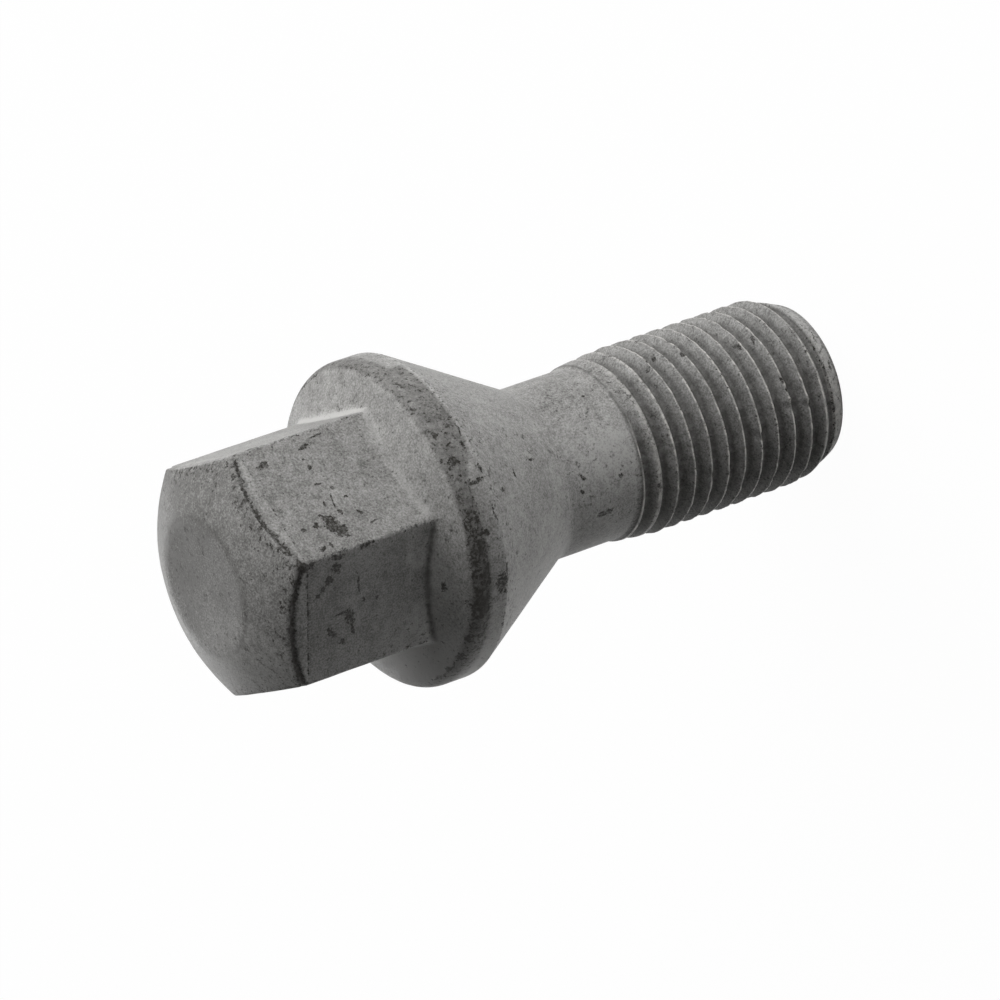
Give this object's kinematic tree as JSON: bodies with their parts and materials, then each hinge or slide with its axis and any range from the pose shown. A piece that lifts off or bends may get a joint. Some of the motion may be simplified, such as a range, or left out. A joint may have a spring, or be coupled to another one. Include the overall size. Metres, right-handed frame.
{
  "type": "wheel bolt",
  "caption": "One-piece wheel bolt: domed hexagon head, fixed collar with a conical seat, plain shank and a rolled right-hand thread with a chamfered tip.",
  "frame": {"origin": "centre of the flat thread tip, on which the bolt stands", "axes": "+Z along the bolt's axis, from the thread tip towards the head; two flats of the hexagon face +Y and -Y, and two of its corners lie on the X side"},
  "size_m": [0.0242, 0.0242, 0.0517],
  "materials": {
    "coated_steel": "matt grey zinc flake coating, scuffed dark along the rim of the collar and the edge of the dome"
  },
  "bodies": {
    "root": {"wheel_bolt": "coated_steel"}
  },
  "joints": []
}
